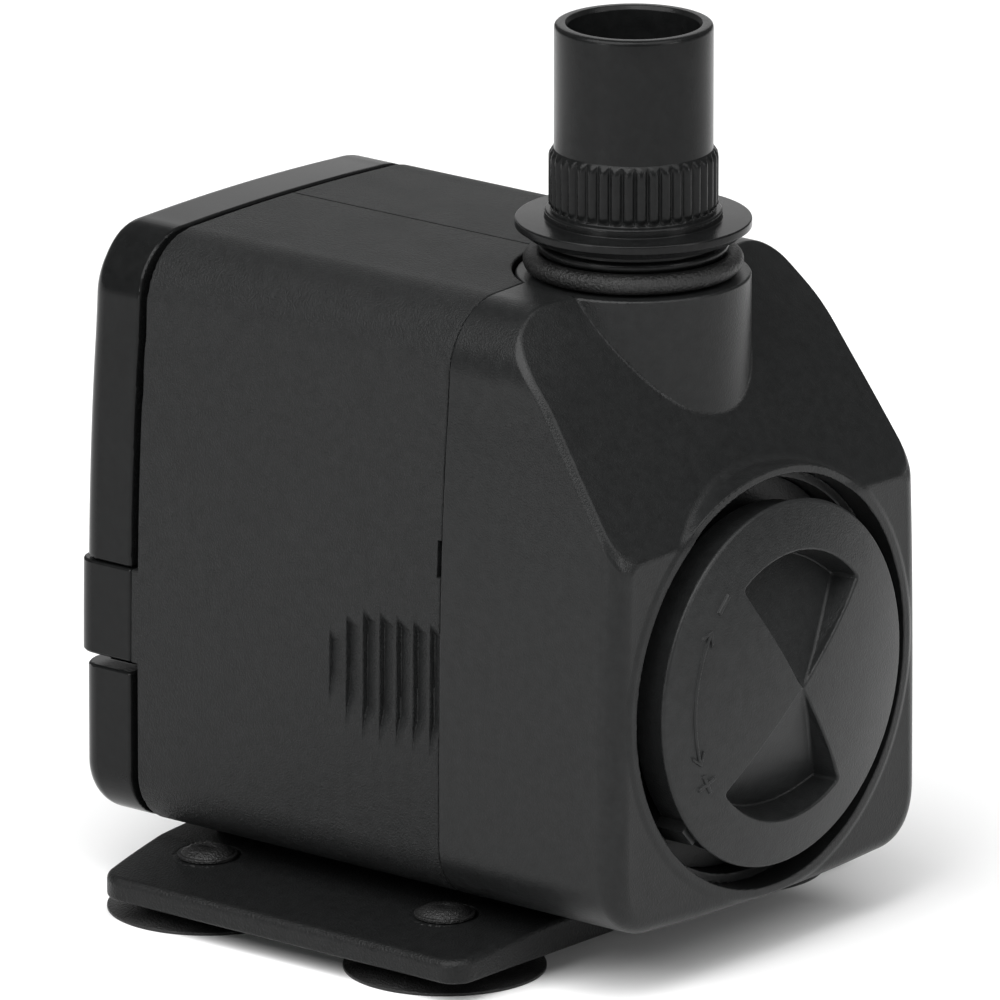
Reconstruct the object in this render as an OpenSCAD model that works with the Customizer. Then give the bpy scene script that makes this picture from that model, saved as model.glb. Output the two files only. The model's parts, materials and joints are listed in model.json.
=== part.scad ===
// Small magnetic-drive submersible pump. Millimetres, +Z up, the front and its dial face -Y.
// The origin is on the floor, under the middle of the pump.

/* [Body] */
// Width of the motor body at its foot
body_w = 49; // [48:0.5:50]
// Height of the body's crown above the floor
body_top = 69.3; // [68.8:0.1:69.8]
// Wall thickness of the housing and covers
wall = 2; // [1.6:0.1:2.2]
// Radius of the upper corners, seen from the front
top_corner_r = 7; // [6.5:0.5:8]
// Radius of the lower corners, seen from the front
foot_corner_r = 6; // [5:0.5:7]

/* [Front cover] */
// How far the front face stands forward of the origin
front_y = 34.5; // [34:0.1:34.8]
// How far the seam to the motor housing lies forward of the origin
seam_y = 11.1; // [10.8:0.1:11.2]
// Slope of the upper face, degrees from level
facet_angle = 54.7; // [52:0.1:57]
// Bulge of the sloping face across its width
facet_crown = 1.1; // [0.4:0.1:1.4]
// Outer radius of the outlet boss
boss_r = 11.87; // [11.6:0.01:12]

/* [Dial] */
// Radius of the flow dial
dial_r = 18.83; // [18:0.01:19.2]
// Rise of the dial's dome at its centre
dial_dome = 2.6; // [2:0.1:3]
// Radius of the recess that holds the dial
recess_r = 21.2; // [20.8:0.1:21.4]
// Depth of the bow-tie grip at its ends
grip_depth = 5.6; // [4:0.1:5.8]

/* [Outlet] */
// Outer radius of the hose spigot
spigot_r = 8; // [7.8:0.05:8.1]
// Inner radius of the hose spigot
spigot_bore_r = 6.6; // [6:0.1:6.8]
// Height of the spigot's rim above the floor
spigot_top = 94.6; // [90:0.1:100]
// Number of ribs on the knurled collar
knurl_count = 40; // [30:1:44]

/* [Base] */
// Length of the base plate across the pump
plate_w = 65; // [64:0.5:66]
// Depth of the base plate, front to back
plate_d = 52; // [50:0.5:53]
// Radius of a suction cup
cup_r = 10.28; // [9.8:0.02:10.4]
// Distance between suction cups across the pump
cup_span_x = 44.5; // [44:0.5:45]
// Distance between suction cups front to back
cup_span_y = 31.5; // [30:0.5:32]

/* [Drive] */
// Radius of the fixed shaft
shaft_r = 1.5; // [1.3:0.1:1.6]
// Radius of the rotor magnet
magnet_r = 8.6; // [8:0.1:8.7]
// Radius of the impeller
impeller_r = 12.5; // [11:0.1:13]
// Number of impeller blades
blade_count = 6; // [4:1:8]

/* [Hidden] */

$fn = 96;
far = 120;

// heights and depths shared by several pieces
axis_z = 29.45;             // drive and dial axis above the floor
boss_y = -16.1;             // outlet axis
boss_top = 68.9;
body_foot = 6.7;            // underside of the body in the middle
foot_bow = 0.5;             // how much higher the underside is at its ends
top_bow = 0.35;             // how much lower the crown is at its ends
side_taper = 1.9;           // how much narrower each side is at the shoulder
housing_end = 28.95;        // back edge of the motor housing, above and below the rear band
rear_seam = 29.8;           // where the housing meets the rear band
cover_front = 29.9;         // front edge of the rear covers, past a groove
cover_inset = 0.1;          // how far the rear covers lie inside the housing's skin
cover_back = 37;            // back of the rear covers
band_back = 37.6;           // back of the rear band
gland_back = 38.2;
band_z0 = 24.7;
band_z1 = 34.5;
front_edge_r = 2.4;         // rounding of the upright front edges
lip_length = 2.4;           // locating lip that reaches into the front cover
lip_gap = 0.3;
lip_wall = 1.1;
rear_edge_r = 2.7;          // rounding of the upright rear edges
front_bow = 0.5;            // how far the front face falls back at its sides
dial_rim_y = -35.6;
dial_back_y = -31.2;
mark_r = 15.1;              // the dial's raised marks
mark_length = 2.3;
mark_line = 0.4;
grille_y0 = -28.6;
grille_y1 = -27;
shutter_y0 = -26.9;
shutter_y1 = -25.7;
slot_r0 = 11;               // the grille's curved water slots
slot_width = 5.5;
slot_angle = 55;
plate_y0 = -23.4;
plate_y1 = -22;
volute_r = 14.5;
volute_wall = 1.7;
volute_end = -11.65;
well_r = 9.3;
well_wall = 0.9;
well_end = 21.5;
pocket_r = 12.15;           // half-round pocket in the housing behind the outlet boss
pocket_z = 56.2;
pocket_wall = 1.2;
duct_r = 4;
duct_outer_r = 4.5;
seal_r = 1.05;              // outlet O-ring section
seal_z = 70.15;
neck_r = 8.9;
plug_r = 8.2;               // the adaptor's plug inside the boss
plug_z = 57.5;
plug_clearance = 0.08;
run_clearance = 0.05;
plate_y = 5.7;              // middle of the base plate
plate_z0 = 2.2;
plate_edge_z = 4.6;
plate_rear_bow = 4.5;       // how far the plate's rear edge falls forward at its ends
plate_slope = 0.08;
plinth_z = 6.6;
post_r = 2;                 // posts that locate the plate under the housing
post_top = 8;
head_z = 5.3;               // underside of the suction cups' button heads
head_seat_r = 3.5;
stem_r = 2.2;
pry_z = 43.1;               // middle of the slots that open the front cover
core_y0 = -1.5;
core_y1 = 18.5;
leg_x0 = 8.5;
leg_x1 = 16;
coil_z0 = 42.3;
coil_z1 = 54.7;
wire_r = 1;
wire_x = 6;
wire_z = 47;

black = [0.13, 0.135, 0.14];
charcoal = [0.19, 0.195, 0.2];
rubber_black = [0.09, 0.09, 0.095];

// ---- outlines -------------------------------------------------------------

// points of an arc, from angle a0 to a1
function arc(cx, cy, r, a0, a1, n) =
    [for (i = [0 : n]) let (a = a0 + (a1 - a0) * i / n) [cx + r * cos(a), cy + r * sin(a)]];

// half-width of the body at height z
function side_x(z) =
    body_w / 2 - side_taper * pow(max(0, z - side_z0) / (side_z1 - side_z0), 3);

foot_cx = body_w / 2 - foot_corner_r;
side_z0 = body_foot + foot_bow + foot_corner_r;
side_z1 = body_top - top_bow - top_corner_r;
top_cx = body_w / 2 - side_taper - top_corner_r;

// right half of the body's front outline, g inside the outer skin
function half_outline(g) = concat(
    [[0, body_foot + g]],
    arc(foot_cx, side_z0, foot_corner_r - g, -90, 0, 8),
    [for (i = [1 : 6]) let (z = side_z0 + (side_z1 - side_z0) * i / 7) [side_x(z) - g, z]],
    arc(top_cx, side_z1, top_corner_r - g, 0, 90, 9),
    [for (i = [1 : 3]) let (x = top_cx * (3 - i) / 3)
        [x, body_top - g - top_bow * pow(x / top_cx, 2)]]);

function mirror_x(points) = [for (i = [len(points) - 1 : -1 : 0]) [-points[i][0], points[i][1]]];

module body_section(g) {
    polygon(concat(half_outline(g), mirror_x(half_outline(g))));
}

// the body's outline, g inside the skin, from y0 to y1
module body_prism(g, y0, y1) {
    translate([0, y1, 0])
        rotate([90, 0, 0])
            linear_extrude(height = y1 - y0)
                body_section(g);
}

// a cylinder along Y on the drive axis
module y_cyl(r, y0, y1, x = 0, z = axis_z) {
    translate([x, y0, z])
        rotate([-90, 0, 0])
            cylinder(r = r, h = y1 - y0);
}

// a ring along Y on the drive axis
module y_ring(r, bore_r, y0, y1) {
    difference() {
        y_cyl(r, y0, y1);
        y_cyl(bore_r, y0 - 1, y1 + 1);
    }
}

module box(x0, x1, y0, y1, z0, z1) {
    translate([x0, y0, z0])
        cube([x1 - x0, y1 - y0, z1 - z0]);
}

// a block, rounded seen from above, from z0 to z1
module rounded_block(x0, x1, y0, y1, z0, z1, r) {
    translate([0, 0, z0])
        linear_extrude(height = z1 - z0)
            polygon(concat(
                arc(x1 - r, y0 + r, r, -90, 0, 6),
                arc(x1 - r, y1 - r, r, 0, 90, 6),
                arc(x0 + r, y1 - r, r, 90, 180, 6),
                arc(x0 + r, y0 + r, r, 180, 270, 6)));
}

// ---- motor housing --------------------------------------------------------

module thumb_ribs(side) {
    // seven saw-tooth grooves inside a patch that is round at its rear end
    pitch = 2.2;
    depth = 0.7;
    first_y = 3.4;
    round_y = -2.5;
    reach = 6.8;
    least = 3.6;
    for (i = [0 : 6]) {
        y = first_y - pitch * i;
        round_end = sqrt(max(0, reach * reach - pow(y - round_y, 2)));
        end = y > round_y ? max(round_end, least) : reach;
        translate([side * side_x(axis_z), y, axis_z - end])
            scale([side, 1, 1])
                linear_extrude(height = 2 * end)
                    polygon([[1, -1.7], [1, 0.1], [-depth, 0], [0, -1.6]]);
    }
}

module motor_housing() {
    color(charcoal)
    difference() {
        union() {
            difference() {
                union() {
                    body_prism(0, -seam_y, housing_end);
                    // tongues that reach back to the rear band
                    intersection() {
                        body_prism(0, housing_end - 1, rear_seam);
                        box(-far, far, -far, far, band_z0, band_z1);
                    }
                }
                body_prism(wall, -seam_y + wall, rear_seam + 1);
            }
            // lip that locates the front cover
            difference() {
                body_prism(wall + lip_gap, -seam_y - lip_length, -seam_y + 1);
                body_prism(wall + lip_gap + lip_wall, -seam_y - lip_length - 1, -seam_y + 2);
            }
            // rotor well
            y_cyl(well_r + well_wall, -seam_y + 0.5, well_end + 1.3);
            // walls of the pocket behind the outlet boss
            intersection() {
                translate([0, boss_y, pocket_z - pocket_wall])
                    cylinder(r = pocket_r + pocket_wall, h = body_top);
                body_prism(wall - 0.5, -seam_y + 0.1, 0);
            }
            // ledges that carry the stator core
            for (side = [-1, 1])
                box(side < 0 ? -23.4 : 19.6, side < 0 ? -19.6 : 23.4, -seam_y + 1.5, core_y1, 22, 36);
        }
        y_cyl(well_r, -seam_y - 4, well_end);
        // pocket for the outlet boss
        translate([0, boss_y, pocket_z])
            cylinder(r = pocket_r, h = far);
        // groove for the chamber seal
        translate([0, -seam_y - 1, axis_z])
            rotate([-90, 0, 0])
                difference() {
                    cylinder(r = volute_r + 1.65, h = 2);
                    cylinder(r = volute_r + 0.05, h = 2);
                }
        for (side = [-1, 1]) {
            thumb_ribs(side);
            // pry slot at the seam
            translate([side * (side_x(pry_z) + 0.4), -seam_y, pry_z])
                cube([2, 1, 3.8], center = true);
        }
        // sockets for the base plate's posts
        post_places()
            cylinder(r = post_r + run_clearance, h = post_top + 0.2, $fn = 32);
    }
}

// ---- motor ----------------------------------------------------------------

module potting_block() {
    color([0.1, 0.1, 0.1])
    difference() {
        body_prism(wall + 0.1, 23, housing_end - 0.8);
        for (side = [-1, 1])
            y_cyl(wire_r + run_clearance, 22, 30, side * wire_x, wire_z);
    }
}

module rivet_places() {
    for (side = [-1, 1], z = [20.5, 59])
        translate([side * (z > 40 ? 12.2 : 15.2), 0, z])
            children();
}

module stator_core() {
    color([0.55, 0.56, 0.58])
    difference() {
        union() {
            for (side = [-1, 1]) {
                box(side < 0 ? -leg_x1 : leg_x0, side < 0 ? -leg_x0 : leg_x1, core_y0, core_y1, 40, 57);
                box(side < 0 ? -19.5 : 4.5, side < 0 ? -4.5 : 19.5, core_y0, core_y1, 17, 42);
            }
            box(-leg_x1, leg_x1, core_y0, core_y1, 55, 63);
        }
        y_cyl(well_r + well_wall + 0.3, core_y0 - 1, core_y1 + 1);
        rivet_places()
            rotate([-90, 0, 0])
                translate([0, 0, core_y0 - 1])
                    cylinder(r = 1.5 + run_clearance, h = core_y1 - core_y0 + 2, $fn = 32);
    }
}

module stator_rivets() {
    color([0.7, 0.68, 0.6])
    rivet_places()
        rotate([-90, 0, 0])
            translate([0, 0, core_y0]) {
                cylinder(r = 1.5, h = core_y1 - core_y0, $fn = 32);
                translate([0, 0, -0.8])
                    cylinder(r = 2.4, h = 0.8, $fn = 32);
                translate([0, 0, core_y1 - core_y0])
                    cylinder(r = 2.4, h = 0.8, $fn = 32);
            }
}

module coil_bobbin(side) {
    color([0.85, 0.85, 0.8])
    scale([side, 1, 1])
    difference() {
        union() {
            rounded_block(7.3, 17.2, -2.7, 19.7, coil_z0, coil_z1, 0.8);
            rounded_block(4.2, 20.3, -5.6, 22.6, coil_z0, coil_z0 + 1, 1.5);
            rounded_block(4.2, 20.3, -5.6, 22.6, coil_z1 - 1, coil_z1, 1.5);
        }
        box(leg_x0 - 0.2, leg_x1 + 0.2, core_y0 - 0.2, core_y1 + 0.2, coil_z0 - 1, coil_z1 + 1);
    }
}

module coil_winding(side) {
    color([0.72, 0.38, 0.16])
    scale([side, 1, 1])
    difference() {
        rounded_block(4.6, 19.9, -5.2, 22.2, coil_z0 + 1.1, coil_z1 - 1.1, 3.4);
        rounded_block(7.2, 17.3, -2.8, 19.8, coil_z0, coil_z1, 0.8);
    }
}

module coil_bobbin_left() { coil_bobbin(-1); }
module coil_bobbin_right() { coil_bobbin(1); }
module coil_winding_left() { coil_winding(-1); }
module coil_winding_right() { coil_winding(1); }

module thermal_cutout() {
    color([0.8, 0.8, 0.78])
    union() {
        rounded_block(-2.6, 2.6, 6, 11, 44, 53, 1);
        for (y = [7.6, 9.4])
            translate([0, y, 42.2])
                cylinder(r = 0.35, h = 2, $fn = 24);
    }
}

// one insulated lead: back from the coil, down behind the potting, in towards the cord gland
module lead_wire(side) {
    turn_y = 31.8;
    union() {
        y_cyl(wire_r, 22.9, turn_y, side * wire_x, wire_z);
        translate([side * wire_x, turn_y, wire_z])
            sphere(r = wire_r, $fn = 32);
        translate([side * wire_x, turn_y, axis_z])
            cylinder(r = wire_r, h = wire_z - axis_z, $fn = 32);
        translate([side * wire_x, turn_y, axis_z])
            sphere(r = wire_r, $fn = 32);
        translate([side * wire_x, turn_y, axis_z])
            rotate([0, -side * 90, 0])
                cylinder(r = wire_r, h = wire_x - 1.6, $fn = 32);
    }
}

module lead_wires() {
    color([0.2, 0.2, 0.22])
    union() {
        lead_wire(-1);
        lead_wire(1);
    }
}

// ---- rear covers ----------------------------------------------------------

// everything inside rounded upright rear edges that end at y = back
module rear_rounding(back) {
    rounded_block(-body_w / 2 - 0.02, body_w / 2 + 0.02, 0, back, 0, far, rear_edge_r);
}

module rear_shell(back) {
    difference() {
        union() {
            intersection() {
                body_prism(cover_inset, cover_front, back);
                rear_rounding(back);
            }
            // skirt that tucks into the housing
            body_prism(wall + 0.15, housing_end - 0.7, cover_front + 1);
        }
        body_prism(wall + 1.3, housing_end - 1, back - wall);
    }
}

module rear_cover_upper() {
    color(black)
    intersection() {
        rear_shell(cover_back);
        box(-far, far, 0, far, band_z1 + 0.15, far);
    }
}

module rear_cover_lower() {
    color(black)
    intersection() {
        rear_shell(cover_back);
        box(-far, far, 0, far, 0, band_z0 - 1.2);
    }
}

module rear_band() {
    color(black)
    difference() {
        intersection() {
            body_prism(0, rear_seam + 0.02, band_back);
            rear_rounding(band_back);
            box(-far, far, 0, far, band_z0, band_z1);
        }
        box(-9, 9, rear_seam - 1, 34.6, band_z0 + 1.3, band_z1 + 1);
        y_cyl(4.5, 30, 40);
    }
}

module cord_gland() {
    color(rubber_black)
    difference() {
        union() {
            y_cyl(4.45, 33.4, band_back);
            y_cyl(4.4, band_back - 0.5, gland_back);
            y_cyl(3.9, 33.4, gland_back);
        }
        y_cyl(3, 30, 40);
    }
}

// ---- base -----------------------------------------------------------------

module cup_places() {
    for (sx = [-1, 1], sy = [-1, 1])
        translate([sx * cup_span_x / 2, plate_y + sy * cup_span_y / 2, 0])
            children();
}

module post_places() {
    for (x = [-14, 14], y = [0, 22])
        translate([x, y, 0])
            children();
}

// the plate seen from above: a straight front edge and a rear edge that bows back
module plate_outline() {
    hw = plate_w / 2;
    r = 2.5;
    y0 = plate_y - plate_d / 2;
    rear = plate_y + plate_d / 2;
    bowed = [for (i = [5 : -1 : -5]) let (x = (hw - r) * i / 5.5)
        [x, rear - plate_rear_bow * pow(x / hw, 2)]];
    corner_y = rear - plate_rear_bow * pow((hw - r) / hw, 2) - r;
    polygon(concat(
        arc(hw - r, y0 + r, r, -90, 0, 6),
        arc(hw - r, corner_y, r, 0, 78, 6),
        bowed,
        arc(-hw + r, corner_y, r, 102, 180, 6),
        arc(-hw + r, y0 + r, r, 180, 270, 6)));
}

module base_plate() {
    hw = plate_w / 2;
    step = body_w / 2 - 4.5;
    step_z = plate_edge_z + plate_slope * (hw - step);
    y1 = plate_y + plate_d / 2;
    color(charcoal)
    difference() {
        union() {
            intersection() {
                translate([0, y1, 0])
                    rotate([90, 0, 0])
                        linear_extrude(height = plate_d)
                            polygon([[-hw, plate_z0], [hw, plate_z0], [hw, plate_edge_z],
                                [step, step_z], [-step, step_z], [-hw, plate_edge_z]]);
                linear_extrude(height = 20)
                    plate_outline();
            }
            // plinth under the motor housing
            rounded_block(-17, 17, -9, 28, plate_z0 + 1, plinth_z, 2);
            post_places()
                translate([0, 0, plinth_z - 1])
                    cylinder(r = post_r, h = post_top - plinth_z + 1, $fn = 32);
            cup_places()
                translate([0, 0, plate_z0])
                    cylinder(r = head_seat_r, h = head_z - plate_z0, $fn = 48);
        }
        cup_places() {
            cylinder(r = stem_r + run_clearance, h = 20, $fn = 48);
            translate([0, 0, head_z])
                cylinder(r = head_seat_r, h = 2, $fn = 48);
        }
        // hollow under the plinth
        rounded_block(-15, 15, -7, 26, 0, plate_z0 + 1.8, 2);
    }
}

// suction cup, stem and button head in one rubber moulding
module suction_cup(sx, sy) {
    color(rubber_black)
    translate([sx * cup_span_x / 2, plate_y + sy * cup_span_y / 2, 0])
        rotate_extrude()
            polygon(concat(
                [[0, 1.1], [3, 0.95], [7.4, 0.4], [cup_r - 0.5, 0], [cup_r, 0], [cup_r, 0.35]],
                [[8, 0.95], [4.4, 1.7], [3.2, plate_z0 - 0.03], [stem_r, plate_z0 - 0.03]],
                [[stem_r, head_z + 0.03], [3.1, head_z + 0.03], [3.1, head_z + 0.35], [2.75, head_z + 0.5]],
                [for (a = [20 : 10 : 90]) [2.8 * cos(a), head_z + 0.2 + 0.9 * sin(a)]]));
}

module suction_cup_front_left() { suction_cup(-1, -1); }
module suction_cup_front_right() { suction_cup(1, -1); }
module suction_cup_rear_left() { suction_cup(-1, 1); }
module suction_cup_rear_right() { suction_cup(1, 1); }

// ---- drive ----------------------------------------------------------------

module chamber_seal() {
    color(rubber_black)
    translate([0, -seam_y + 0.25, axis_z])
        rotate([90, 0, 0])
            rotate_extrude()
                translate([volute_r + 0.85, 0])
                    circle(r = 0.7, $fn = 32);
}

module shaft() {
    color([0.92, 0.9, 0.85])
    y_cyl(shaft_r, plate_y0 - 0.2, 21);
}

module rear_shaft_bush() {
    color(rubber_black)
    difference() {
        y_cyl(3.2, 19.3, well_end);
        y_cyl(shaft_r + 0.01, 18, 21.01);
    }
}

module rotor_magnet() {
    color([0.28, 0.27, 0.27])
    y_ring(magnet_r, 4.02, -1, 18.3);
}

module rotor_sleeve() {
    color([0.88, 0.88, 0.86])
    difference() {
        union() {
            y_cyl(4, -8.95, 18.3);
            y_cyl(6.5, -2.2, -1.03);
        }
        y_cyl(shaft_r + run_clearance, -20, 30);
    }
}

module impeller() {
    color([0.9, 0.9, 0.88])
    difference() {
        union() {
            y_cyl(4, -20.5, -9);
            y_cyl(8, -12.2, -11.4);
            for (i = [0 : blade_count - 1])
                translate([0, 0, axis_z])
                    rotate([0, 360 * i / blade_count, 0])
                        box(0, impeller_r, -20.5, -12, -0.6, 0.6);
        }
        y_cyl(shaft_r + run_clearance, -30, 30);
    }
}

module thrust_washer(y0) {
    color([0.75, 0.75, 0.72])
    y_ring(2.8, shaft_r + run_clearance, y0, y0 + 0.5);
}

module thrust_washer_front() { thrust_washer(-21.05); }
module thrust_washer_rear() { thrust_washer(18.5); }

// ---- front cover ----------------------------------------------------------

// the space under the sloping face: a low crown across, straight along the slope
module under_facet(g) {
    slope_y = -32;
    slope_z = 48.5;
    half = body_w / 2 + 2;
    translate([0, slope_y, slope_z])
        rotate([facet_angle, 0, 0])
            translate([0, far, 0])
                rotate([90, 0, 0])
                    linear_extrude(height = 2 * far)
                        polygon(concat([[-half, -far], [half, -far]],
                            [for (i = [6 : -1 : -6]) let (x = half * i / 6)
                                [x, facet_crown * (1 - pow(i / 6, 2)) - g]]));
}

// seen from above, g inside the skin: a front face with a low bow and rounded upright edges
module front_plan(g) {
    half = body_w / 2 + 0.02 - g;
    side_front = -front_y + front_bow + g;
    r = max(front_edge_r - g, 0.3);
    translate([0, 0, -1])
        linear_extrude(height = far)
            polygon(concat(
                [[half, 0], [-half, 0]],
                arc(-half + r, side_front + r, r, 180, 262, 6),
                [for (i = [-4 : 4]) let (x = (half - r) * i / 5)
                    [x, -front_y + g + front_bow * pow(i / 5, 2)]],
                arc(half - r, side_front + r, r, -82, 0, 6)));
}

module cover_form(g, back) {
    intersection() {
        body_prism(g, -front_y - 1, back);
        front_plan(g);
        under_facet(g);
    }
}

module front_cover() {
    color(black)
    difference() {
        union() {
            difference() {
                cover_form(0, -seam_y);
                cover_form(wall, -seam_y + 1);
            }
            // recess wall, standing proud of the sloping face as a collar
            intersection() {
                y_cyl(recess_r + 0.9, -front_y + 0.15, grille_y1);
                front_plan(0.1);
            }
            // boss for the outlet, blended down into the sloping face
            intersection() {
                translate([0, boss_y, 50])
                    cylinder(r = boss_r, h = boss_top - 50);
                union() {
                    body_prism(-2, -far, boss_y);
                    box(-far, far, -far, far, pocket_z + 0.3, far);
                }
            }
            // duct from the pump chamber up to the boss
            translate([0, boss_y, axis_z + volute_r - 0.5])
                cylinder(r = duct_outer_r, h = 14);
            // pump chamber wall and its webs
            y_cyl(volute_r + volute_wall, plate_y1 + 0.02, volute_end);
            for (side = [-1, 1])
                scale([side, 1, 1])
                    box(15.6, 23.2, plate_y1 + 0.5, -14, axis_z - 0.8, axis_z + 0.8);
            box(-0.8, 0.8, plate_y1 + 0.5, -14, 8, 14);
        }
        // the recess, in two steps
        y_cyl(recess_r, -far, -31.4);
        y_cyl(recess_r - 1, -40, grille_y1 + 1);
        // flat top inside the boss's rim, and the bore for the adaptor
        translate([0, boss_y, boss_top])
            cylinder(r = boss_r + 0.05, h = 10);
        translate([0, boss_y, plug_z - 0.3])
            cylinder(r = plug_r + plug_clearance, h = 20);
        translate([0, boss_y, axis_z + volute_r - 3])
            cylinder(r = duct_r, h = 30);
        y_cyl(volute_r, plate_y1 - 1, far);
    }
}

module suction_plate() {
    color(charcoal)
    difference() {
        union() {
            difference() {
                y_cyl(volute_r + volute_wall, plate_y0, plate_y1);
                y_cyl(6.5, plate_y0 - 1, plate_y1 + 1);
            }
            for (i = [0 : 2])
                translate([0, 0, axis_z])
                    rotate([0, 120 * i + 30, 0])
                        box(2.8, 7, plate_y0, plate_y1, -0.7, 0.7);
            y_cyl(3.4, plate_y0 - 0.6, plate_y1 + 0.5);
        }
        y_cyl(2.41, -40, 0);
    }
}

module front_shaft_bush() {
    color(rubber_black)
    y_ring(2.4, shaft_r + run_clearance, plate_y0 - 0.6, plate_y1 + 0.7);
}

// three slots for the water
module intake_slots(y0, y1) {
    translate([0, y0, axis_z])
        rotate([-90, 0, 0])
            for (i = [0 : 2])
                rotate([0, 0, 120 * i + 90 - slot_angle / 2])
                    rotate_extrude(angle = slot_angle)
                        translate([slot_r0, 0])
                            square([slot_width, y1 - y0]);
}

module intake_grille() {
    color(charcoal)
    difference() {
        union() {
            y_cyl(recess_r - 1.1, grille_y0, grille_y1);
            // peg that limits the shutter's turn
            translate([0, 0, axis_z])
                rotate([0, 180, 0])
                    y_cyl(0.8, grille_y1 - 0.5, shutter_y1 - 0.1, 8.5, 0);
        }
        y_cyl(3.05, -40, 0);
        intake_slots(grille_y0 - 1, grille_y1 + 1);
    }
}

// ---- flow dial ------------------------------------------------------------

dome_r = (dial_r * dial_r + dial_dome * dial_dome) / (2 * dial_dome);
dome_y = dial_rim_y - dial_dome;

// the dome's sphere, grown by g
module dome_ball(g) {
    translate([0, dome_y + dome_r, axis_z])
        sphere(r = dome_r + g, $fn = 180);
}

// turn a flat drawing so that it faces the front; angles count from +X towards +Z
module face_front(y) {
    translate([0, y, axis_z])
        rotate([90, 0, 0])
            children();
}

module grip_cut() {
    reach = 13.9;
    half_angle = 41.5;
    lean = 8;
    slope = atan(grip_depth / reach);
    for (up = [0, 180])
        intersection() {
            face_front(dial_back_y - 0.9)
                rotate([0, 0, 90 - lean + up])
                    linear_extrude(height = 20)
                        polygon(concat([[0, 0]], arc(0, 0, reach, -half_angle, half_angle, 16)));
            face_front(dome_y)
                rotate([0, 0, 90 - lean + up])
                    rotate([0, slope, 0])
                        translate([0, -20, 0])
                            cube([40, 40, 20]);
        }
}

// a bar across the dial's radius, at radius r
module tangent_bar(r, angle, length) {
    rotate(angle)
        translate([r, 0])
            square([mark_line, length], center = true);
}

// raised marks: a minus, a plus and a double arrow
module dial_marks() {
    arc_a0 = 147;
    arc_a1 = 199;
    half_line = mark_line / 2;
    face_front(dial_rim_y)
        linear_extrude(height = 5) {
            tangent_bar(mark_r, 134.5, mark_length);
            tangent_bar(mark_r, 209, mark_length);
            rotate(209)
                translate([mark_r, 0])
                    square([mark_length, mark_line], center = true);
            polygon(concat(
                arc(0, 0, mark_r + half_line, arc_a0, arc_a1, 16),
                arc(0, 0, mark_r - half_line, arc_a1, arc_a0, 16)));
            for (s = [[arc_a0 - 1.5, 1], [arc_a1 + 1.5, -1]])
                rotate(s[0])
                    translate([mark_r, 0])
                        polygon([[-0.7, s[1] * 1.4], [0, 0], [0.7, s[1] * 1.4]]);
        }
}

module flow_dial() {
    color(black)
    difference() {
        union() {
            intersection() {
                y_cyl(dial_r, dome_y - 1, dial_back_y);
                dome_ball(0);
            }
            intersection() {
                dial_marks();
                dome_ball(0.25);
            }
            y_cyl(3, dial_back_y - 1, shutter_y0 - 0.04);
            // stop tab on the rim
            intersection() {
                face_front(dial_back_y)
                    rotate(223)
                        linear_extrude(height = 5.2)
                            translate([dial_r - 0.8, -1.2])
                                square([1.3, 2.4]);
                dome_ball(0.2);
            }
        }
        grip_cut();
        y_cyl(1.1, -33, -20);
    }
}

module flow_shutter() {
    color(charcoal)
    difference() {
        y_cyl(18, shutter_y0, shutter_y1);
        y_cyl(1.15, -30, -20);
        translate([0, 0, axis_z])
            rotate([0, -30, 0])
                translate([0, 0, -axis_z])
                    intake_slots(shutter_y0 - 1, shutter_y1 + 1);
        // arc slot for the stop peg
        translate([0, shutter_y0 - 1, axis_z])
            rotate([-90, 0, 0])
                rotate([0, 0, 180 - 37])
                    rotate_extrude(angle = 74)
                        translate([7.5, 0])
                            square([2, 4]);
    }
}

module dial_screw() {
    color([0.75, 0.76, 0.78])
    union() {
        y_cyl(1.08, -32.8, shutter_y1 + 0.03);
        y_cyl(2.4, shutter_y1 + 0.03, shutter_y1 + 1.1);
    }
}

// ---- outlet ---------------------------------------------------------------

module outlet_seal() {
    color(rubber_black)
    translate([0, boss_y, seal_z])
        rotate_extrude()
            translate([neck_r + 0.05 + seal_r + 0.05, 0])
                circle(r = seal_r, $fn = 48);
}

// height of a knurl rib above the collar, k runs from -2.5 to 2.5 across one rib
function knurl_rise(k) = abs(k) > 1.5 ? -0.05 : 0.29 - 0.09 * abs(k);

module outlet_adaptor() {
    collar_r = 8.25;
    knurl_z0 = 75.7;
    knurl_h = 5.9;
    lip = 0.7;
    color(black)
    translate([0, boss_y, 0])
        difference() {
            union() {
                rotate_extrude()
                    polygon(concat(
                        [[0, plug_z], [plug_r, plug_z], [plug_r, boss_top + 0.1]],
                        [[neck_r, boss_top + 0.15], [neck_r, 71.25], [9.6, 71.25], [9.6, 72]],
                        [[neck_r, 72.1], [neck_r, 72.94]],
                        [[11.7, 72.94], [11.92, 73.15], [11.92, 74.35], [11.7, 74.56]],
                        [[8.95, 74.56], [8.95, 75.5], [collar_r - 0.06, knurl_z0 - 0.1]],
                        [[collar_r - 0.06, knurl_z0 + knurl_h - 0.2], [spigot_r, 81.7]],
                        [for (a = [0 : 15 : 90])
                            [spigot_r - lip + lip * cos(a), spigot_top - lip + lip * sin(a)]],
                        [[0, spigot_top]]));
                translate([0, 0, knurl_z0 - 0.1])
                    linear_extrude(height = knurl_h)
                        polygon([for (i = [0 : knurl_count - 1], k = [-1.9, -1.1, 0, 1.1, 1.9])
                            let (a = (i + k / 5) * 360 / knurl_count, r = collar_r + knurl_rise(k))
                                [r * cos(a), r * sin(a)]]);
            }
            translate([0, 0, plug_z - 1])
                cylinder(r = spigot_bore_r, h = far);
            translate([0, 0, spigot_top - 0.7])
                cylinder(r1 = spigot_bore_r, r2 = spigot_bore_r + 0.75, h = 0.75);
        }
}

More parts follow.
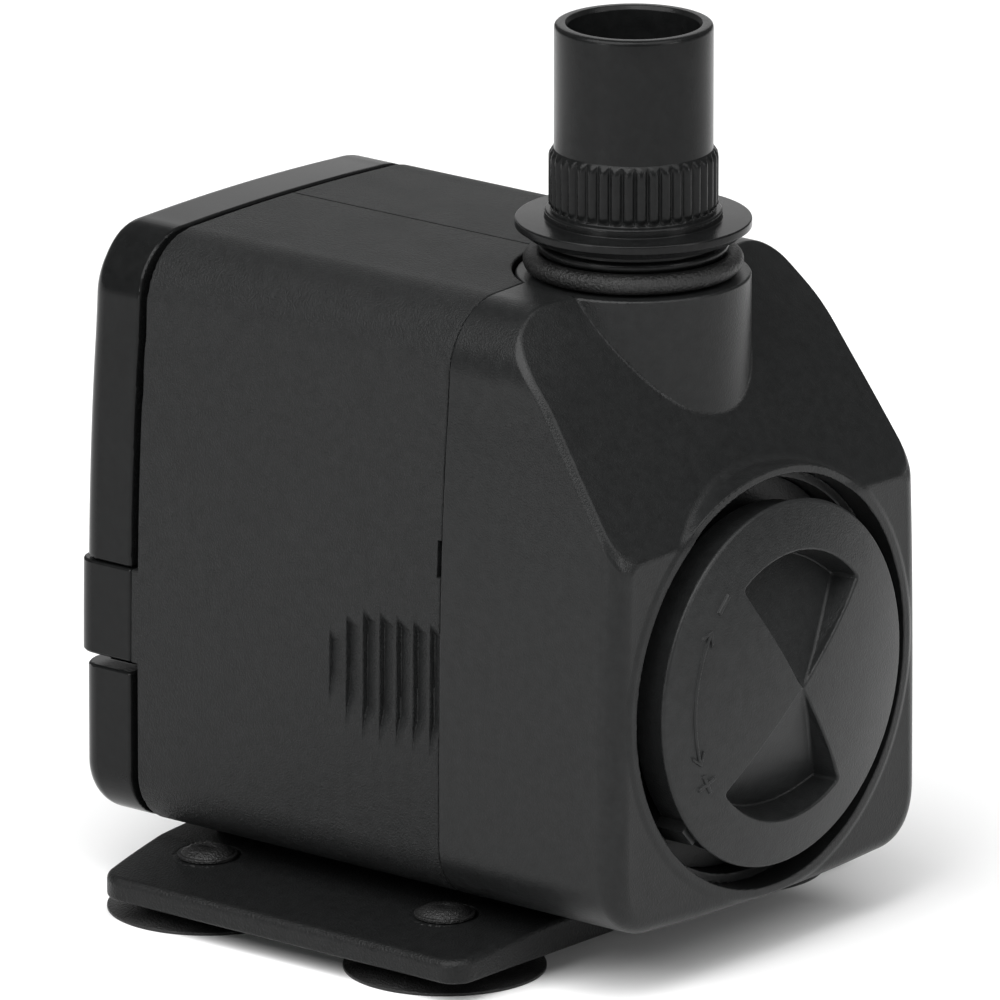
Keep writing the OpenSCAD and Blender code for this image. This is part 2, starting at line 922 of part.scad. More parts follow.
motor_housing();
potting_block();
stator_core();
stator_rivets();
coil_bobbin_left();
coil_bobbin_right();
coil_winding_left();
coil_winding_right();
thermal_cutout();
lead_wires();
rear_cover_upper();
rear_band();
rear_cover_lower();
cord_gland();
base_plate();
suction_cup_front_left();
suction_cup_front_right();
suction_cup_rear_left();
suction_cup_rear_right();
chamber_seal();
shaft();
rear_shaft_bush();
rotor_magnet();
rotor_sleeve();
impeller();
thrust_washer_front();
thrust_washer_rear();
front_cover();
suction_plate();
front_shaft_bush();
intake_grille();
flow_dial();
flow_shutter();
dial_screw();
outlet_seal();
outlet_adaptor();
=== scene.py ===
import json
import math

import bpy
import numpy as np
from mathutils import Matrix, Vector


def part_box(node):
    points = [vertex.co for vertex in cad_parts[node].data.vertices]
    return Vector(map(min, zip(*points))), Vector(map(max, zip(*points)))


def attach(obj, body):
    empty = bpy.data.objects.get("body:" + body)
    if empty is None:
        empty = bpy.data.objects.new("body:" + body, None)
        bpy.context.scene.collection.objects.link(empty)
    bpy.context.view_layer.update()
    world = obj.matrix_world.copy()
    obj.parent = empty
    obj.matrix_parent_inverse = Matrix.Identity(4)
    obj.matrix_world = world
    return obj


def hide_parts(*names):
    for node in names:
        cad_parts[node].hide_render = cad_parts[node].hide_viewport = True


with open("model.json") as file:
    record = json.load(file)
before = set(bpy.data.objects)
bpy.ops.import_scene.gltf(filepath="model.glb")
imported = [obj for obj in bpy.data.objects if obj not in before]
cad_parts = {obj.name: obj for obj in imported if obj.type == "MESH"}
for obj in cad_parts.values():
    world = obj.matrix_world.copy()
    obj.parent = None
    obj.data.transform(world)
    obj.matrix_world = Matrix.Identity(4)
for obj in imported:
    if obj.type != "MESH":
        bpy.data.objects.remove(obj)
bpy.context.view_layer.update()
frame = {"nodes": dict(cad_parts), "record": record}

# Shapes are worked out in millimetres, in the CAD model's own frame: +Z up, the dial faces -Y.
MM = 0.001


def node_box(name):
    """Lowest and highest corner of a CAD node, in millimetres."""
    low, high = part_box(name)
    return np.array(low) / MM, np.array(high) / MM


# ---- sizes, from the frame where it has them --------------------------------

housing_low, housing_high = node_box("motor_housing")
cover_low, cover_high = node_box("front_cover")
dial_low, dial_high = node_box("flow_dial")
outlet_low, outlet_high = node_box("outlet_adaptor")
plate_low, plate_high = node_box("base_plate")
seal_low, seal_high = node_box("outlet_seal")
grille_low, grille_high = node_box("intake_grille")

LIP = 2.4                                   # locating lip, forward of the seam
SEAM_Y = housing_low[1] + LIP
REAR_SEAM_Y = housing_high[1]
HOUSING_END = REAR_SEAM_Y - 0.85            # above and below the rear band
HALF_W = housing_high[0]
FOOT_Z = housing_low[2]
TOP_Z = housing_high[2]
FRONT_Y = -cover_low[1]
AXIS_Z = (grille_low[2] + grille_high[2]) / 2
BOSS_Y = (outlet_low[1] + outlet_high[1]) / 2
WALL = 2.0

FOOT_R, TOP_R, EDGE_R = 6.0, 7.0, 2.4       # corner radii of the body
FOOT_BOW, TOP_BOW, FRONT_BOW = 0.5, 0.35, 0.5
SIDE_TAPER = 1.9
SIDE_Z0 = FOOT_Z + FOOT_BOW + FOOT_R
SIDE_Z1 = TOP_Z - TOP_BOW - TOP_R
FOOT_CX = HALF_W - FOOT_R
TOP_CX = HALF_W - SIDE_TAPER - TOP_R

COVER_BACK_Y = node_box("rear_cover_upper")[1][1]
COVER_FRONT_Y = REAR_SEAM_Y + 0.1
BAND_LOW, BAND_HIGH = (v[2] for v in node_box("rear_band"))
BAND_BACK_Y = node_box("rear_band")[1][1]
BACK_EDGE_R = 2.7

FACET_ANGLE = math.radians(54.7)
FACET_Y, FACET_Z, FACET_CROWN = -32.0, 48.5, 1.1

DIAL_R = 18.83
DIAL_RIM_Y = -35.6
DIAL_BACK_Y = -31.2
DOME = DIAL_RIM_Y - dial_low[1]
DOME_R = (DIAL_R ** 2 + DOME ** 2) / (2 * DOME)
RECESS_R = 21.2
RECESS_STEP_Y = -31.4
GRILLE_Y = grille_high[1] - 1.2
BOSS_R = 11.87
BOSS_TOP = 68.9
BORE_R = 8.28


# ---- distance fields --------------------------------------------------------
# A field is negative inside the solid. The helpers below join them with rounded edges.

def both(a, b, r=0.0):
    """Where a and b overlap, the edge rounded to radius r."""
    sharp = np.maximum(a, b)
    if np.isscalar(r) and r == 0.0:
        return sharp
    return np.minimum(sharp, -r) + np.hypot(np.maximum(a + r, 0), np.maximum(b + r, 0))


def either(a, b, r=0.0):
    """a and b together, the inner corner filled to radius r."""
    return -both(-a, -b, r)


def less(a, b, r=0.0):
    """a with b cut away, the edge rounded to radius r."""
    return both(a, -b, r)


def chamfered(a, b, width, r):
    """Where a and b overlap, the edge cut flat over a width, its two edges rounded to r."""
    flat = (a + b) * math.sqrt(0.5) + width / 2
    return both(both(a, flat, r), b, r)


def slab(v, low, high):
    return np.maximum(low - v, v - high)


def smooth_step(v, low, high):
    t = np.clip((v - low) / (high - low), 0, 1)
    return t * t * (3 - 2 * t)


# ---- meshing ----------------------------------------------------------------

def spaced(low, high, step, *fine):
    """Grid lines from low to high; each fine stretch is (low, high, step)."""
    marks, at = [], low
    for a, b, s in sorted(fine):
        if a > at:
            marks.append(np.linspace(at, a, max(2, int(round((a - at) / step)) + 1))[:-1])
        marks.append(np.linspace(a, b, int(round((b - a) / s)) + 1)[:-1])
        at = b
    marks.append(np.linspace(at, high, max(2, int(round((high - at) / step)) + 1)))
    return np.concatenate(marks)


def gradient(field, p):
    h = 0.02
    out = np.empty_like(p)
    for k in range(3):
        d = np.zeros(3)
        d[k] = h
        out[:, k] = (field(*(p + d).T) - field(*(p - d).T)) / (2 * h)
    return out


def settle(field, points, reach):
    """Moves points onto the surface of the field."""
    for _ in range(3):
        value = field(*points.T)
        g = gradient(field, points)
        length = np.maximum(np.linalg.norm(g, axis=1), 0.5)
        points = points - g * (np.clip(value / length, -reach, reach) / length)[:, None]
    return points


def net_faces(f, grids):
    """Points and quads of the surface where the sampled field f changes sign."""
    cells = tuple(n - 1 for n in f.shape)
    strides = np.array([cells[1] * cells[2], cells[2], 1])
    total = np.zeros((int(np.prod(cells)), 3))
    count = np.zeros(len(total))
    quads = []
    for k in range(3):
        a = np.moveaxis(f, k, 0)[:-1]
        b = np.moveaxis(f, k, 0)[1:]
        hit = (a < 0) != (b < 0)
        va, vb = a[hit], b[hit]
        where = np.argwhere(hit)
        others = [i for i in range(3) if i != k]
        index = np.empty_like(where)
        index[:, k] = where[:, 0]
        index[:, others[0]] = where[:, 1]
        index[:, others[1]] = where[:, 2]
        point = np.stack([grids[i][index[:, i]] for i in range(3)], 1)
        step = grids[k][index[:, k] + 1] - grids[k][index[:, k]]
        point[:, k] += step * va / (va - vb)
        u, v = (k + 1) % 3, (k + 2) % 3
        corner = index @ strides
        ring = []
        for du, dv in ((-1, -1), (0, -1), (0, 0), (-1, 0)):
            cell = corner + du * strides[u] + dv * strides[v]
            for i in range(3):
                total[:, i] += np.bincount(cell, point[:, i], len(total))
            count += np.bincount(cell, minlength=len(total))
            ring.append(cell)
        ring = np.stack(ring, 1)
        ring[va >= 0] = ring[va >= 0][:, ::-1]
        quads.append(ring)
    used = count > 0
    number = np.cumsum(used) - 1
    points = total[used] / count[used][:, None]
    return points, number[np.concatenate(quads)]


def new_object(name, points, faces):
    mesh = bpy.data.meshes.new(name)
    mesh.from_pydata((points * MM).tolist(), [], faces.tolist())
    mesh.polygons.foreach_set("use_smooth", [True] * len(mesh.polygons))
    mesh.update()
    obj = bpy.data.objects.new(name, mesh)
    bpy.context.scene.collection.objects.link(obj)
    return obj


def thin_out(obj, limit):
    """Collapses edges where the surface is flat, until at most limit triangles are left."""
    triangles = len(obj.data.loops) - 2 * len(obj.data.polygons)
    if triangles <= limit:
        return
    obj.modifiers.new("thin", "DECIMATE").ratio = limit / triangles
    thinned = bpy.data.meshes.new_from_object(obj.evaluated_get(bpy.context.evaluated_depsgraph_get()))
    obj.modifiers.clear()
    obj.data = thinned


def mesh_array(items, name, width, kind=np.float32):
    out = np.empty(len(items) * width, kind)
    items.foreach_get(name, out)
    return out.reshape(-1, width) if width > 1 else out


def shade(mesh, field):
    """Gives each face corner the field's own direction, read a little way inside its face."""
    inset = 0.12
    points = mesh_array(mesh.vertices, "co", 3).astype(np.float64) / MM
    corner = points[mesh_array(mesh.loops, "vertex_index", 1, np.int32)]
    sides = mesh_array(mesh.polygons, "loop_total", 1, np.int32)
    face = np.repeat(np.arange(len(sides)), sides)
    centre = np.stack([np.bincount(face, corner[:, k]) for k in range(3)], 1) / sides[:, None]
    inward = centre[face] - corner
    distance = np.maximum(np.linalg.norm(inward, axis=1), 1e-6)
    g = gradient(field, corner + inward * np.minimum(inset / distance, 0.5)[:, None])
    normals = g / np.maximum(np.linalg.norm(g, axis=1), 1e-9)[:, None]
    mesh.normals_split_custom_set(normals.tolist())


TRIANGLES = 190000


def net(name, field, xs, ys, zs):
    """A closed mesh of the field's surface, its points and normals taken from the field itself."""
    grids = (xs, ys, zs)
    f = field(xs[:, None, None], ys[None, :, None], zs[None, None, :]).astype(np.float64)
    f = np.broadcast_to(f, (len(xs), len(ys), len(zs)))
    points, quads = net_faces(f, grids)
    reach = 0.25 * min(np.diff(g).min() for g in grids) + 0.1
    obj = new_object(name, settle(field, points, reach), quads)
    thin_out(obj, TRIANGLES)
    mesh = obj.data
    points = mesh_array(mesh.vertices, "co", 3).astype(np.float64) / MM
    mesh.vertices.foreach_set("co", (settle(field, points, 0.06) * MM).ravel())
    mesh.update()
    shade(mesh, field)
    return obj


def rounded_profile(corners, turns=5):
    """A closed outline of (r, h, fillet) corners, each corner turned into an arc."""
    out = []
    n = len(corners)
    for i in range(n):
        p = np.array(corners[i][:2], float)
        fillet = corners[i][2] if len(corners[i]) > 2 else 0
        a = np.array(corners[i - 1][:2], float) - p
        b = np.array(corners[(i + 1) % n][:2], float) - p
        la, lb = np.linalg.norm(a), np.linalg.norm(b)
        if fillet <= 0 or la < 1e-9 or lb < 1e-9:
            out.append(p)
            continue
        a, b = a / la, b / lb
        half = math.acos(float(np.clip(a @ b, -1, 1))) / 2
        if half > math.radians(88):
            out.append(p)
            continue
        cut = min(fillet / math.tan(half), 0.49 * la, 0.49 * lb)
        for k in range(turns + 1):
            t = k / turns
            out.append(p + a * cut * (1 - t) ** 2 + b * cut * t ** 2)
    return np.array(out)


def lathe(name, profile, centre, segments=192, ripple=None, backward=False):
    """Turns a closed profile of (r, h) about Z, or about Y where backward is set.

    ripple(angle, r, h) is added to the radius."""
    angles = np.linspace(0, 2 * math.pi, segments, endpoint=False)
    r = profile[:, 0][None, :] + np.zeros((segments, 1))
    h = profile[:, 1][None, :] + np.zeros((segments, 1))
    if ripple is not None:
        r = r + ripple(angles[:, None], r, h)
    across, along = r * np.cos(angles)[:, None], r * np.sin(angles)[:, None]
    places = (-across, h, along) if backward else (across, along, h)
    points = np.stack([c + p for c, p in zip(centre, places)], 2).reshape(-1, 3)
    m = len(profile)
    i = np.arange(segments)[:, None]
    j = np.arange(m)[None, :]
    a = i * m + j
    b = ((i + 1) % segments) * m + j
    c = ((i + 1) % segments) * m + (j + 1) % m
    d = i * m + (j + 1) % m
    faces = np.stack([a, b, c, d], 2).reshape(-1, 4)
    return new_object(name, points, faces)


# ---- the body's shared skin -------------------------------------------------

def eased(t, power):
    """t to a power, levelling off at 1 with no kink."""
    turn = 0.9
    rise = power * turn ** (power - 1)
    span = 2 * (1 - turn ** power) / rise
    past = np.clip(t - turn, 0, span)
    return np.minimum(t, turn) ** power + rise * (past - past * past / (2 * span))


def side_half(z):
    t = np.maximum((z - SIDE_Z0) / (SIDE_Z1 - SIDE_Z0), 0)
    return HALF_W - SIDE_TAPER * eased(t, 3)


def body_skin(x, z):
    """The body's outline seen from the front: bowed sides, crown and foot."""
    side = np.abs(x) - side_half(z)
    top = z - (TOP_Z - TOP_BOW * eased(np.abs(x) / TOP_CX, 2))
    foot = (FOOT_Z + FOOT_BOW * eased(np.abs(x) / FOOT_CX, 2)) - z
    return both(both(side, top, TOP_R), foot, FOOT_R)


def drive_radius(x, z):
    return np.hypot(x, z - AXIS_Z)


# ---- motor housing ----------------------------------------------------------

THUMB_COUNT, THUMB_PITCH, THUMB_DEPTH = 7, 2.2, 0.75
THUMB_FIRST_Y, THUMB_ROUND_Y = 3.3, -2.5    # the rearmost wall, and where the patch's round end starts
THUMB_REACH, THUMB_LEAST = 6.8, 3.9         # half heights of the longest and the shortest groove
ABOVE_EXTRA, ABOVE_FADE = 0.4, 1.6          # how a groove runs out above the axis
BELOW_EXTRA, BELOW_FADE = 1.3, 4.5          # and below it


def thumb_groove_depth(y, z):
    """Saw-tooth grooves in a pill-shaped patch: a steep wall behind, a floor rising forward."""
    phase = (THUMB_FIRST_Y - y) / THUMB_PITCH
    number = np.floor(phase)
    t = phase - number
    wall_y = THUMB_FIRST_Y - number * THUMB_PITCH
    past_round = np.maximum(wall_y - THUMB_ROUND_Y, 0)
    round_end = np.sqrt(np.maximum(THUMB_REACH ** 2 - past_round ** 2, THUMB_LEAST ** 2))
    reach = np.where(wall_y > THUMB_ROUND_Y, round_end, THUMB_REACH)
    above = z > AXIS_Z
    extra = np.where(above, ABOVE_EXTRA, BELOW_EXTRA)
    fade = np.where(above, ABOVE_FADE, BELOW_FADE)
    end = np.clip((reach + extra - np.abs(z - AXIS_Z)) / fade, 0, 1)
    saw = np.minimum(t / 0.06, np.clip((0.85 * end - t) / 0.79, 0, 1))
    live = (number >= 0) & (number < THUMB_COUNT)
    depth = THUMB_DEPTH * np.clip(0.6 + 0.2 * number, 0, 1)
    return np.where(live, depth * np.clip(saw, 0, 1) * end, 0)


SEAM_FLOOR = 1.2                            # how deep the seam ahead of the rear covers goes
LATCH_DEPTH, LATCH_LENGTH, LATCH_LOW, LATCH_HIGH = 0.7, 0.45, 41.2, 45.0
PARTING_HALF, PARTING_DEPTH = 0.1, 0.1      # the line along the top
SLEEVE_R, SLEEVE_END_Y = 10.2, 22.8         # the sleeve around the rotor, and the well inside it
WELL_R, WELL_END_Y = 9.3, 21.5
POCKET_WALL_R, POCKET_WALL_Z = 13.35, 55.0  # the pocket for the cover's boss
POCKET_R, POCKET_Z = 12.15, 56.2
CHAMBER_GROOVE_IN, CHAMBER_GROOVE_OUT = 14.55, 16.15


def housing_field(x, y, z):
    skin = body_skin(x, z)
    side = np.abs(x) - side_half(z)
    seam_floor = np.minimum(slab(z, BAND_LOW, BAND_HIGH), skin + SEAM_FLOOR)
    back = np.minimum(y - HOUSING_END, np.maximum(y - REAR_SEAM_Y, seam_floor))
    d = both(both(skin, SEAM_Y - y, 0.22), back, 0.25)
    groove = thumb_groove_depth(y, z)
    d = np.where(groove > 0, np.maximum(d, side + groove), d)
    d = less(d, np.maximum(skin + WALL, SEAM_Y + WALL - y), 0.2)
    latch = np.maximum(-LATCH_DEPTH - side, y - SEAM_Y - LATCH_LENGTH)
    d = less(d, np.maximum(latch, slab(z, LATCH_LOW, LATCH_HIGH)))
    d = less(d, np.maximum(np.abs(x) - PARTING_HALF + 0 * z, TOP_Z - PARTING_DEPTH - z))
    lip = both(less(skin + WALL + 0.3, skin + WALL + 1.4), slab(y, SEAM_Y - LIP, SEAM_Y + 1), 0.3)
    d = either(d, lip, 0.2)
    rr = drive_radius(x, z)
    d = either(d, np.maximum(rr - SLEEVE_R, slab(y, SEAM_Y + 0.5, SLEEVE_END_Y)))
    boss = np.hypot(x, y - BOSS_Y)
    pocket_wall = np.maximum(boss - POCKET_WALL_R, POCKET_WALL_Z - z)
    d = either(d, np.maximum(pocket_wall, np.maximum(skin + 1.5, SEAM_Y + 0.1 - y)))
    d = less(d, np.maximum(boss - POCKET_R, POCKET_Z - z), 0.25)
    d = less(d, np.maximum(rr - WELL_R, y - WELL_END_Y), 0.3)
    ring = np.maximum(CHAMBER_GROOVE_IN - rr, rr - CHAMBER_GROOVE_OUT)
    return less(d, np.maximum(ring, y - SEAM_Y - 1.0), 0.1)


# ---- front cover ------------------------------------------------------------

FOOT_EDGE_LESS, FOOT_EDGE_Z0, FOOT_EDGE_Z1 = 0.8, 7.5, 13.0   # a sharper front edge at the foot
FACET_EDGE, CORNER_EDGE, CORNER_X0, CORNER_X1 = 0.12, 0.6, 20.3, 22.3
PUMP_CHAMBER_R, CHAMBER_BORE_R = 16.2, 14.5
CHAMBER_FRONT_Y, CHAMBER_BACK_Y = -21.98, -11.65
DUCT_R, DUCT_BORE_R = 4.5, 4.0
WEB_HALF, WEB_FRONT_Y, WEB_BACK_Y = 0.8, -21.5, -14
STUB_Z, STUB_CLEAR_Z = 50, 56.5             # the boss starts at STUB_Z, and is whole above STUB_CLEAR_Z


def front_face(x, y):
    return -y - (FRONT_Y - FRONT_BOW * eased(np.abs(x) / (HALF_W - EDGE_R), 2))


def cover_skin(x, y, z, inset=0.0):
    """The cover's form: the body's skin, a bowed front face and a sloping upper face."""
    skin = body_skin(x, z) + inset
    edge = EDGE_R - FOOT_EDGE_LESS * (1 - smooth_step(z, FOOT_EDGE_Z0, FOOT_EDGE_Z1))
    d = both(skin, front_face(x, y) + inset, np.maximum(edge - inset, 0.3))
    crown = FACET_CROWN * (1 - (x / (HALF_W + 2)) ** 2) - 0.55 * smooth_step(z, 60, 67) * (x / 17) ** 2
    facet = (z - FACET_Z) * math.cos(FACET_ANGLE) - (y - FACET_Y) * math.sin(FACET_ANGLE) - crown + inset
    width = FACET_EDGE + CORNER_EDGE * smooth_step(np.abs(x), CORNER_X0, CORNER_X1)
    return chamfered(d, facet, width, 0.14)


def cover_field(x, y, z):
    skin = body_skin(x, z)
    rr = drive_radius(x, z)
    outer = both(cover_skin(x, y, z), y - SEAM_Y, 0.22)
    collar = both(rr - RECESS_R - 0.9, np.maximum(front_face(x, y) + 0.1, y - GRILLE_Y), 0.15)
    boss = np.hypot(x, y - BOSS_Y)
    stub = both(boss - BOSS_R, z - BOSS_TOP, 0.3)
    below = np.where(z < STUB_CLEAR_Z, np.maximum(y - BOSS_Y, STUB_Z - z), -1)
    stub = np.maximum(stub, np.minimum(STUB_Z - z, 0) + below)
    hollow = less(outer, cover_skin(x, y, z, WALL))
    shell = either(hollow, collar, 0.7)
    d = either(shell, stub, 0.2)
    duct = np.maximum(boss - DUCT_R, slab(z, AXIS_Z + 14, AXIS_Z + 28))
    chamber = np.maximum(rr - PUMP_CHAMBER_R, slab(y, CHAMBER_FRONT_Y, CHAMBER_BACK_Y))
    web_length = slab(y, WEB_FRONT_Y, WEB_BACK_Y)
    side_webs = np.maximum(np.abs(z - AXIS_Z) - WEB_HALF, np.maximum(skin + 1.5, 15.6 - rr))
    foot_web = np.maximum(np.abs(x) - WEB_HALF, slab(z, 8, 14))
    for piece in (duct, chamber, np.maximum(side_webs, web_length), np.maximum(foot_web, web_length)):
        d = either(d, piece, 0.3)
    crown = np.maximum(boss - BOSS_R - 0.02, BOSS_TOP - z)
    d = less(d, crown)
    d = less(d, np.maximum(rr - RECESS_R, y - RECESS_STEP_Y), 0.18)
    d = less(d, np.maximum(rr - RECESS_R + 1, y - GRILLE_Y - 1), 0.15)
    d = less(d, np.maximum(boss - BORE_R, slab(z, 57.2, 90)), 0.3)
    d = less(d, np.maximum(boss - DUCT_BORE_R, slab(z, AXIS_Z + 11.5, 60)))
    return less(d, np.maximum(rr - CHAMBER_BORE_R, slab(y, -23, 0)), 0.2)


# ---- rear covers ------------------------------------------------------------

UPPER_GAP, LOWER_GAP = 0.15, 1.2            # between each rear cover and the band
BAND_ROOM_HALF_W, BAND_ROOM_Y, BAND_WALL = 9, 34.6, 1.3
GLAND_HOLE_R = 4.5


def rear_form(x, y, z, inset, front, back):
    """A rear cover's outer form, its rear edge rounded less along the top."""
    skin = body_skin(x, z) + inset
    edge = BACK_EDGE_R - 0.8 * smooth_step(z, TOP_Z - 4, TOP_Z)
    return both(both(skin, y - back, edge), front - y, 0.3)


def rear_shell(x, y, z):
    d = rear_form(x, y, z, 0.1, COVER_FRONT_Y, COVER_BACK_Y)
    skin = body_skin(x, z)
    skirt = np.maximum(skin + WALL + 0.15, slab(y, HOUSING_END - 0.7, COVER_FRONT_Y + 1))
    d = either(d, skirt)
    return less(d, np.maximum(skin + WALL + 1.3, y - COVER_BACK_Y + WALL))


def rear_upper_field(x, y, z):
    return both(rear_shell(x, y, z), BAND_HIGH + UPPER_GAP - z, 0.25)


def rear_lower_field(x, y, z):
    return both(rear_shell(x, y, z), z - BAND_LOW + LOWER_GAP, 0.25)


def rear_band_field(x, y, z):
    d = rear_form(x, y, z, 0.0, REAR_SEAM_Y + 0.02, BAND_BACK_Y)
    d = both(d, slab(z, BAND_LOW, BAND_HIGH), 0.3)
    room = np.maximum(np.abs(x) - BAND_ROOM_HALF_W, y - BAND_ROOM_Y)
    d = less(d, np.maximum(room, BAND_LOW + BAND_WALL - z))
    return less(d, drive_radius(x, z) - GLAND_HOLE_R + 0 * y, 0.3)


# ---- base plate -------------------------------------------------------------

PLATE_REAR_BOW = 4.5
PLATE_HALF = (plate_high - plate_low) / 2
PLATE_EDGE_Z, PLATE_SLOPE, PLATE_MIDDLE_Z = 4.6, 0.08, 5.6
PLINTH_HALF_W, PLINTH_FRONT_Y, PLINTH_BACK_Y, PLINTH_Z = 14.8, -9, 28, 6.6
PEG_X, PEG_YS, PEG_R, PEG_TOP_Z = 14, (0, 22), 2, 8
UNDER_HALF_W, UNDER_FRONT_Y, UNDER_BACK_Y, UNDER_DEPTH = 15, -7, 26, 1.8
HEAD_Z, SEAT_R, CUP_HOLE_R = 5.3, 3.5, 2.25   # where a suction cup's head sits
CUPS = [end + "_" + side for end in ("front", "rear") for side in ("left", "right")]
CUP_BOXES = {n: node_box("suction_cup_" + n) for n in CUPS}
CUP_XY = {n: ((low + high) / 2)[:2] for n, (low, high) in CUP_BOXES.items()}


def plate_field(x, y, z):
    rear = plate_high[1] - PLATE_REAR_BOW * (x / PLATE_HALF[0]) ** 2
    outline = both(np.abs(x) - PLATE_HALF[0], np.maximum(plate_low[1] - y, y - rear), 2.5)
    top = z - np.minimum(PLATE_EDGE_Z + PLATE_SLOPE * (PLATE_HALF[0] - np.abs(x)), PLATE_MIDDLE_Z)
    d = both(outline, top, 0.8)
    d = both(d, plate_low[2] - z, 0.35)
    plinth = both(np.abs(x) - PLINTH_HALF_W, slab(y, PLINTH_FRONT_Y, PLINTH_BACK_Y), 2)
    d = either(d, both(plinth, slab(z, 3, PLINTH_Z), 0.2), 0.3)
    for px in (-PEG_X, PEG_X):
        for py in PEG_YS:
            d = either(d, np.maximum(np.hypot(x - px, y - py) - PEG_R, slab(z, 5, PEG_TOP_Z)))
    for cx, cy in CUP_XY.values():
        cup = np.hypot(x - cx, y - cy)
        d = either(d, np.maximum(cup - SEAT_R, slab(z, plate_low[2], HEAD_Z)))
        d = less(d, np.maximum(cup - SEAT_R, HEAD_Z - z), 0.15)
        d = less(d, cup - CUP_HOLE_R + 0 * z)
    under = both(np.abs(x) - UNDER_HALF_W, slab(y, UNDER_FRONT_Y, UNDER_BACK_Y), 2)
    return less(d, np.maximum(under, z - plate_low[2] - UNDER_DEPTH), 0.2)


# ---- dial -------------------------------------------------------------------

# the grip's two wedge-shaped pockets
GRIP_R, GRIP_HALF_ANGLE, GRIP_LEAN, GRIP_FLOOR = 13.9, math.radians(41.5), math.radians(8), 5.6
GRIP_BACK_Y, GRIP_DRAFT = -32.1, 0.2
# the marks, their places in degrees around the dial
MARK_R, MARK_RISE = 15.1, 0.24
BAR_HALF_WIDTH, BAR_HALF_LENGTH, MINUS_AT, PLUS_AT = 0.2, 1.15, 134.5, 209
ARC_HALF_WIDTH, ARC_HALF_ANGLE, ARC_AT = 0.16, math.radians(26.5), 173
ARROWS = ((146.5, 1), (199.5, -1))          # each with the way it points
# the stop tab on the rim, the stud behind and its hole
TAB_AT, TAB_HALF_W, TAB_IN_R, TAB_OUT_R, TAB_FRONT_Y = 223, 1.2, 17.8, 19.3, -34.9
STUD_R, STUD_END_Y, STUD_HOLE_R, STUD_HOLE_Y = 3, -26.94, 1.1, -33


def bar(spot, half_out, half_across):
    out, across = spot
    return np.maximum(np.abs(out - MARK_R) - half_out, np.abs(across) - half_across)


def turned(x, w, degrees):
    """How far out from the dial's axis along a direction, and how far across it."""
    a = math.radians(degrees)
    return x * math.cos(a) + w * math.sin(a), w * math.cos(a) - x * math.sin(a)


def arrow_head(x, w, degrees, way):
    """A small barb across the arc, pointing along it."""
    u, v = turned(x, w, degrees)
    spread_out = np.abs(u - MARK_R)
    return np.maximum(np.abs(spread_out * 1.5 - v * way) - 0.28, spread_out - 0.75)


def dial_marks(x, w):
    """Raised marks on the dial's face: a minus, a plus and a double arrow."""
    u, v = turned(x, w, ARC_AT)
    past_end = (np.abs(np.arctan2(v, u)) - ARC_HALF_ANGLE) * MARK_R
    marks = np.maximum(np.abs(np.hypot(x, w) - MARK_R) - ARC_HALF_WIDTH, past_end)
    for degrees in (MINUS_AT, PLUS_AT):
        marks = np.minimum(marks, bar(turned(x, w, degrees), BAR_HALF_WIDTH, BAR_HALF_LENGTH))
    marks = np.minimum(marks, bar(turned(x, w, PLUS_AT), BAR_HALF_LENGTH, BAR_HALF_WIDTH))
    for degrees, way in ARROWS:
        marks = np.minimum(marks, arrow_head(x, w, degrees, way))
    return marks


def dial_field(x, y, z):
    w = z - AXIS_Z
    rr = np.hypot(x, w)
    dome = np.sqrt(rr ** 2 + (y - dial_low[1] - DOME_R) ** 2) - DOME_R
    wall = rr - DIAL_R + 0.8 * smooth_step(y, DIAL_RIM_Y + 0.35, DIAL_RIM_Y + 0.7)
    d = both(both(wall, dome, 0.28), y - DIAL_BACK_Y, 0.3)
    along = np.abs(x * math.sin(GRIP_LEAN) + w * math.cos(GRIP_LEAN))
    across = np.abs(x * math.cos(GRIP_LEAN) - w * math.sin(GRIP_LEAN))
    sector = across * math.cos(GRIP_HALF_ANGLE) - along * math.sin(GRIP_HALF_ANGLE)
    slope = math.atan(GRIP_FLOOR / GRIP_R)
    floor = (y - dial_low[1]) * math.cos(slope) - along * math.sin(slope)
    draft = GRIP_DRAFT * np.maximum(y - dial_low[1] - 1.0, 0)
    outline = both(sector + draft * np.minimum(rr / 6, 1), rr - GRIP_R + draft, 0.4)
    d = less(d, both(outline, np.maximum(floor, y - GRIP_BACK_Y), 0.25), 0.25)
    d = either(d, both(dial_marks(x, w), np.abs(dome) - MARK_RISE, 0.14), 0.05)
    u, v = turned(x, w, TAB_AT)
    tab = np.maximum(np.abs(v) - TAB_HALF_W, slab(u, TAB_IN_R, TAB_OUT_R))
    d = either(d, np.maximum(tab, slab(y, TAB_FRONT_Y, DIAL_BACK_Y)), 0.1)
    d = either(d, np.maximum(rr - STUD_R, slab(y, DIAL_BACK_Y - 1, STUD_END_Y)), 0.2)
    return less(d, np.maximum(rr - STUD_HOLE_R, STUD_HOLE_Y - y))


# ---- materials --------------------------------------------------------------

def node_material(name):
    m = bpy.data.materials.new(name)
    m.use_nodes = True
    nodes, links = m.node_tree.nodes, m.node_tree.links
    shader = next(n for n in nodes if n.type == "BSDF_PRINCIPLED")
    place = nodes.new("ShaderNodeTexCoord").outputs["Object"]
    return m, nodes, links, shader, place


def noise(nodes, links, place, scale, detail=3.0, rough=0.55):
    n = nodes.new("ShaderNodeTexNoise")
    n.inputs["Scale"].default_value = scale
    n.inputs["Detail"].default_value = detail
    n.inputs["Roughness"].default_value = rough
    links.new(place, n.inputs["Vector"])
    return n.outputs["Fac"]


